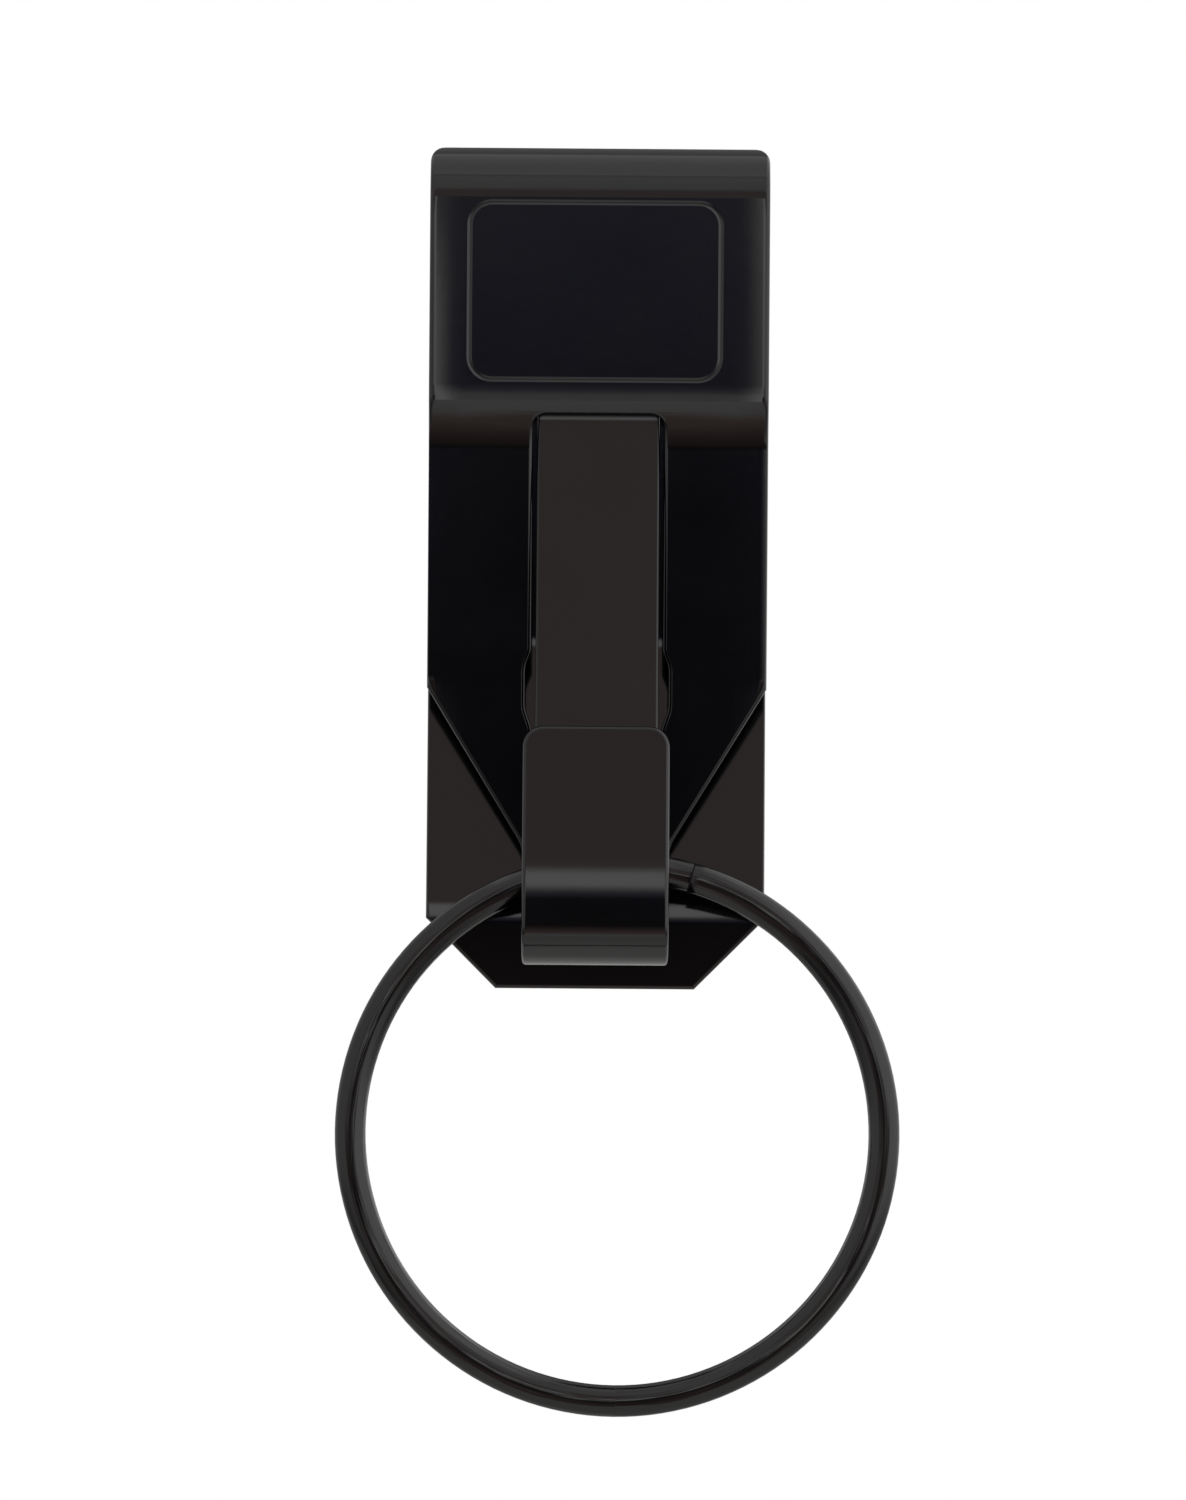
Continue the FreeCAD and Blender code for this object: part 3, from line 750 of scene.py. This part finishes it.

# %% [markdown]
# ## The gate
#
# The gate is a thinner, narrower leaf. Its upper end lies on the back of the top panel, it passes behind the
# window's upper edge, comes out through the window and ends just behind the tip of the hook.
# Pushing a key against it bends it back.

# %% Cut and fold the gate
GATE_START = (0, -3.0, -5.7)
GATE_SIDE, GATE_ROUND, GATE_SHEET, GATE_RIM = 4.15, 1.2, 0.6, 0.17
GATE_LINES = range(2, 18)  # mm from its beginning
gate_folds, gate_ends = plan_folds(
    GATE_START[2],
    180,
    [
        (-11.3,),  # flat on the back of the panel
        (3.0, 6),  # away from it
        (-17.0,),
        (3.0, -15.9),  # and forward through the window
        (-40.6,),  # down to the hook's tip
    ],
)
gate_end = gate_ends[-1][0]
gate_corners = ((-GATE_SIDE, 0), (GATE_SIDE, 0), (GATE_SIDE, gate_end), (-GATE_SIDE, gate_end))
gate = cut_blank([(x, place, GATE_ROUND) for x, place in gate_corners], -1)
for place in GATE_LINES:
    score_across(gate, place, -1)
fold_blank(gate, gate_folds, GATE_START, -1)
thicken(gate, GATE_SHEET)
round_rims(gate, GATE_RIM)
gate_leaf = finish_piece(gate, "gate_leaf", gate_coat, "gate_spring")
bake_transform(gate_leaf)

# %% [markdown]
# ## The split ring
#
# A split ring is one wire wound twice, with a short crossing where it steps from one turn to the next.
# A curve with a bevel would do, but Spin makes it directly: it carries the wire's section round the ring,
# and the shift per step moves it backwards at the crossing. Changing that shift little by little keeps
# the crossing free of kinks. The rolled wire is a flat oval: a circle that is squeezed before the spin.
# Only the section's edges are spun. A filled section would leave a hidden wall inside the wire at
# every step, so the two cut ends are closed afterwards.

# %% Draw the wire's section
RING_RADIUS = 18.025
WIRE_OUT, WIRE_BACK = 2.05, 1.35
FRONT_TURN, REAR_TURN = -6.4, -4.6
CUT_END, JOG = 15.5, 22.0  # degrees after the top where the wire begins, and before it where it ends
WIRE_SIDES = 28

ring = bmesh.new()
top = RING_CENTRE + Vector((0, 0, RING_RADIUS * MM))
oval = Matrix.Translation(top) @ Matrix.Diagonal((WIRE_OUT / 2, WIRE_BACK / 2, 1, 1))
bmesh.ops.create_circle(ring, cap_ends=False, segments=WIRE_SIDES, radius=MM, matrix=oval)
# the section was drawn lying along the wire's way; turned upright, its long side points out from the ring
for spot, degrees in ((top, 90), (RING_CENTRE, CUT_END)):
    turn = Matrix.Rotation(math.radians(degrees), 3, "Y")
    bmesh.ops.rotate(ring, verts=ring.verts[:], cent=spot, matrix=turn)
bmesh.ops.translate(ring, verts=ring.verts[:], vec=(0, FRONT_TURN * MM, 0))
print("corners of the section:", len(ring.verts))

# %% Spin the split ring
STEP = 2.5  # degrees for each step of the spin
CUT_ANGLE, CUT_RIM = 60, 0.12  # edges of the cut ends, in degrees, and their rounding in mm


def crossing(angle):
    """How far the wire has gone from the front turn to the rear turn, 0 to 1."""
    share = between(angle, 360 - JOG, 360 + CUT_END)
    return share * share * (3 - 2 * share)


last = ring.verts[:] + ring.edges[:]
ring_end = 720 - JOG
count = round((ring_end - CUT_END) / STEP)
step = (ring_end - CUT_END) / count
for each in range(count):
    angle = CUT_END + each * step
    shift = (crossing(angle + step) - crossing(angle)) * (REAR_TURN - FRONT_TURN) * MM
    made = bmesh.ops.spin(
        ring,
        geom=last,
        cent=RING_CENTRE,
        axis=(0, 1, 0),
        dvec=(0, shift, 0),
        angle=math.radians(step),
        steps=1,
        use_merge=False,
        use_duplicate=False,
    )
    last = made["geom_last"]
bmesh.ops.remove_doubles(ring, verts=ring.verts[:], dist=1e-7)
bmesh.ops.holes_fill(ring, edges=[edge for edge in ring.edges if edge.is_boundary], sides=0)
bmesh.ops.recalc_face_normals(ring, faces=ring.faces[:])
cut_ends = [edge for edge in ring.edges if edge.calc_face_angle(0) > math.radians(CUT_ANGLE)]
round_edges(ring, cut_ends, CUT_RIM, 2)
print("steps of the spin:", count, "- edges at the cut ends:", len(cut_ends))
split_ring = finish_piece(ring, "coiled_split_ring", ring_coat, "split_ring")
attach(split_ring, "ring")

# %% [markdown]
# ## Floor, light and camera
#
# Black gloss shows the room more than itself. The clip stands in a plain white studio: a pale floor,
# a light dome and a soft panel overhead. Straight in front, where a camera would stand, the dome is dark,
# so the flat panels look black. A bright band above that dark spot gives the bends their light lines,
# and a dimmer, warmer zone farther up shows in the faces that lean back.
# The dome is written as two ramps over the angle from the front, in degrees, one above the horizon and
# one below. Bright walls left and right are mixed in last: they draw the thin light lines on the rims.
# The right wall is the brighter one and both are dim near the floor, as the ring shows in the photograph.

# %% Lay the floor
FLOOR_DROP, FLOOR_BACK, FLOOR_RADIUS = 0.032, 0.13, 0.2
floor_mesh = bmesh.new()
bmesh.ops.create_circle(
    floor_mesh,
    cap_ends=True,
    segments=96,
    radius=FLOOR_RADIUS,
    matrix=Matrix.Translation((0, FLOOR_BACK, cad_low.z - FLOOR_DROP)),
)
floor_data = bpy.data.meshes.new("floor")
floor_mesh.to_mesh(floor_data)
floor_mesh.free()
floor = bpy.data.objects.new("floor", floor_data)
bpy.context.scene.collection.objects.link(floor)
# matt paper: the eye sees an even, pale ground without any gloss
paper = bpy.data.materials.new("white_paper")
paper.use_nodes = True
paper_inputs = paper.node_tree.nodes["Principled BSDF"].inputs
paper_inputs["Base Color"].default_value = linear("#DDDDDB")
paper_inputs["Roughness"].default_value = 0.9
floor_data.materials.append(paper)
print("floor at height in mm:", round((cad_low.z - FLOOR_DROP) / MM, 2))

# %% List the dome's light
ABOVE = [  # angle from the front in degrees, brightness, colour
    (0.0, 0.02, "#D8D4F4"),
    (1.3, 0.04, "#C8CCFF"),
    (1.65, 0.22, "#C8CCFF"),
    (2.0, 0.27, "#CFD2FF"),
    (3.2, 0.29, "#D8DAFF"),
    (5.0, 0.8, "#F4F4F4"),
    (7.0, 1.7, "#FFFFFF"),
    (11.0, 1.7, "#FFFFFF"),
    (14.0, 0.55, "#FFEDE8"),
    (24.0, 0.5, "#FFEDE8"),
    (30.0, 0.8, "#FFFFFF"),
    (52.0, 0.9, "#FFFFFF"),
    (60.0, 0.68, "#FFFFFF"),
    (76.0, 0.55, "#FFFFFF"),
    (105.0, 0.45, "#FFFFFF"),
    (125.0, 0.36, "#FFFFFF"),
    (148.0, 0.22, "#FFFFFF"),
    (180.0, 0.1, "#FFFFFF"),
]
BELOW = [
    (0.0, 0.03, "#D8D4F4"),
    (3.0, 0.08, "#F0DCE0"),
    (7.0, 0.15, "#FFE0D8"),
    (12.0, 0.19, "#FFE0D8"),
    (16.0, 0.23, "#FFE0D8"),
    (24.0, 0.36, "#FFE0D8"),
    (34.0, 0.55, "#FFE0D8"),
    (47.0, 0.9, "#FFFFFF"),
    (60.0, 1.0, "#FFFFFF"),
    (97.0, 0.75, "#FFFFFF"),
    (129.0, 0.3, "#FFFFFF"),
    (160.0, 0.12, "#FFFFFF"),
    (180.0, 0.06, "#FFFFFF"),
]
BRIGHTEST = 1.7  # colours of a ramp end at 1, so brightness is given as a share of this
LEFT_WALL, RIGHT_WALL, LOW_WALL = 0.75, 1.45, 0.25  # the last is the share that is left near the floor
SIDE_FROM, SIDE_FULL = 13, 28  # degrees aside over which the walls begin
LOW_FROM, LOW_FULL = -5, -25  # degrees below the horizon over which they get dim
HORIZON, MIDDLE = 2, math.degrees(0.1)  # degrees over which above and below, left and right go over
print("stops of the dome:", len(ABOVE), "above and", len(BELOW), "below the horizon")

# %% Light the dome
world = bpy.data.worlds.new("light_dome")
bpy.context.scene.world = world
world.use_nodes = True
sky = world.node_tree
sky.nodes.clear()
way = add(sky, "ShaderNodeSeparateXYZ", Vector=add(sky, "ShaderNodeTexCoord").outputs["Generated"])
side = calculate(sky, "ARCSINE", way.outputs["X"])
rise = calculate(sky, "ARCSINE", way.outputs["Z"])
angle = calculate(sky, "ARCCOSINE", calculate(sky, "MULTIPLY", way.outputs["Y"], -1.0))
share = calculate(sky, "DIVIDE", angle, math.pi)


def dome_ramp(rows):
    """A ramp over the angle from the front, as a share of BRIGHTEST."""
    ramp = add(sky, "ShaderNodeValToRGB", Fac=share)
    stops = ramp.color_ramp.elements
    while len(stops) < len(rows):
        stops.new(0.5)
    for stop, (degrees, brightness, tint) in zip(stops, rows):
        stop.position = degrees / 180
        stop.color = [part * brightness / BRIGHTEST for part in linear(tint)[:3]] + [1]
    return ramp.outputs["Color"]


def over(direction, start, end, first=0.0, last=1.0):
    """Goes from first to last while a direction goes from start to end, in degrees."""
    return add(
        sky,
        "ShaderNodeMapRange",
        Value=direction,
        From_Min=math.radians(start),
        From_Max=math.radians(end),
        To_Min=first,
        To_Max=last,
    ).outputs["Result"]


def mix(factor, first, second):
    """Mixes two colours."""
    node = add(sky, "ShaderNodeMix", {"data_type": "RGBA"}, _0=factor, _6=first, _7=second)
    return node.outputs[2]


light = mix(over(rise, -HORIZON, HORIZON), dome_ramp(BELOW), dome_ramp(ABOVE))
wall_light = over(side, -MIDDLE, MIDDLE, LEFT_WALL / BRIGHTEST, RIGHT_WALL / BRIGHTEST)
wall_light = calculate(sky, "MULTIPLY", wall_light, over(rise, LOW_FULL, LOW_FROM, LOW_WALL, 1.0))
room = mix(over(calculate(sky, "ABSOLUTE", side), SIDE_FROM, SIDE_FULL), light, wall_light)
dome = add(sky, "ShaderNodeBackground", Color=room, Strength=BRIGHTEST)
backdrop = add(sky, "ShaderNodeBackground", Color=(1, 1, 1, 1), Strength=1.0)
seen = add(sky, "ShaderNodeLightPath").outputs["Is Camera Ray"]
shown = add(sky, "ShaderNodeMixShader", _0=seen, _1=dome.outputs[0], _2=backdrop.outputs[0])
add(sky, "ShaderNodeOutputWorld", Surface=shown.outputs[0])
print("nodes of the dome:", len(sky.nodes))

# %% Hang the soft panel
PANEL_SIDE, PANEL_HEIGHT, PANEL_RADIANCE = 0.6, 0.5, 0.4
lamp = bpy.data.lights.new("soft_panel", "AREA")
lamp.shape = "SQUARE"
lamp.size = PANEL_SIDE
lamp.energy = PANEL_RADIANCE * math.pi * PANEL_SIDE**2
panel = bpy.data.objects.new("soft_panel", lamp)
panel.location = (0, 0, PANEL_HEIGHT)
panel.visible_camera = False
bpy.context.scene.collection.objects.link(panel)
print("soft panel above the clip in mm:", round(PANEL_HEIGHT / MM), "- power in W:", round(lamp.energy, 2))

# %% [markdown]
# The photograph is taken straight from the front with a long lens. Its frame is 1186 by 1500 pixels, and
# 14.78 of them make a millimetre on the clip, so the frame is 101.5 mm tall there.
# The camera stands 0.8 metres away, and its lens follows from these sizes and the sensor's 36 mm.
# The clip leans by less than half a degree in the frame, which is the camera's roll.

# %% Set the camera
DISTANCE, SENSOR = 0.8, 36  # m, mm
PIXELS_TALL, PIXELS_PER_MM = 1500, 14.78
AIM = (-0.22, -4, -39.965)  # the point in the middle of the picture, in mm
ROLL = -0.427  # degrees
camera_data = bpy.data.cameras.new("camera")
camera_data.sensor_width = SENSOR
camera_data.lens = SENSOR * DISTANCE / (PIXELS_TALL / PIXELS_PER_MM * MM)
camera_data.clip_start = 0.01
camera = bpy.data.objects.new("camera", camera_data)
camera.location = (AIM[0] * MM, AIM[1] * MM - DISTANCE, AIM[2] * MM)
camera.rotation_euler = (math.radians(90), math.radians(ROLL), 0)
bpy.context.scene.collection.objects.link(camera)
bpy.context.scene.camera = camera
bpy.context.scene.view_settings.view_transform = "Standard"
print("lens in mm:", round(camera_data.lens, 1))
